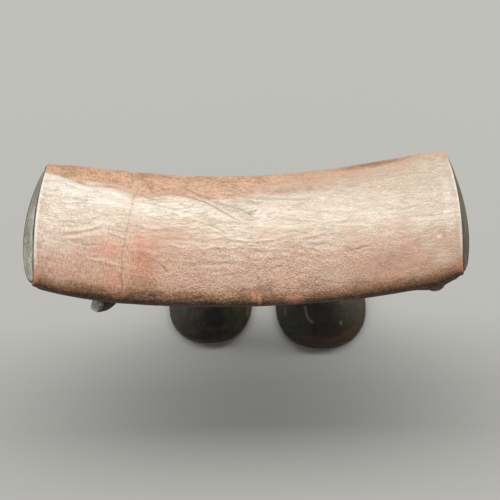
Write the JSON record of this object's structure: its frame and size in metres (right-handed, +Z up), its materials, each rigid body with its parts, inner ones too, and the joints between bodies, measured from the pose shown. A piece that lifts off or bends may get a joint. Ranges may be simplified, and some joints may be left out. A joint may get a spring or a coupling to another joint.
{
  "type": "carved wooden headrest",
  "caption": "Carved wooden headrest: an upswept, leather-covered saddle on splayed legs with flared round feet, which holds the neck of someone lying down.",
  "frame": {"origin": "on the ground under the centre of the headrest's bounding box", "axes": "+X along the saddle towards the end without the lug, +Y to the back, +Z up"},
  "size_m": [0.211, 0.071, 0.1505],
  "materials": {
    "blackened_wood": "blackened by handling, half gloss",
    "leg_wood": "dark brown to black, polished by handling",
    "wedge_wood": "bare split wood",
    "leather": "thin brown skin, worn to a sheen on top",
    "peg_wood": "whittled, brown"
  },
  "bodies": {
    "root": {"saddle": "blackened_wood", "left_leg": "leg_wood", "right_leg": "leg_wood", "left_wedge": "wedge_wood", "right_wedge": "wedge_wood", "leather_cover": "leather", "carrying_lug": "blackened_wood", "front_right_peg": "peg_wood", "back_left_peg": "peg_wood", "back_right_peg": "peg_wood", "front_middle_peg": "peg_wood", "back_middle_peg": "peg_wood"}
  },
  "joints": []
}
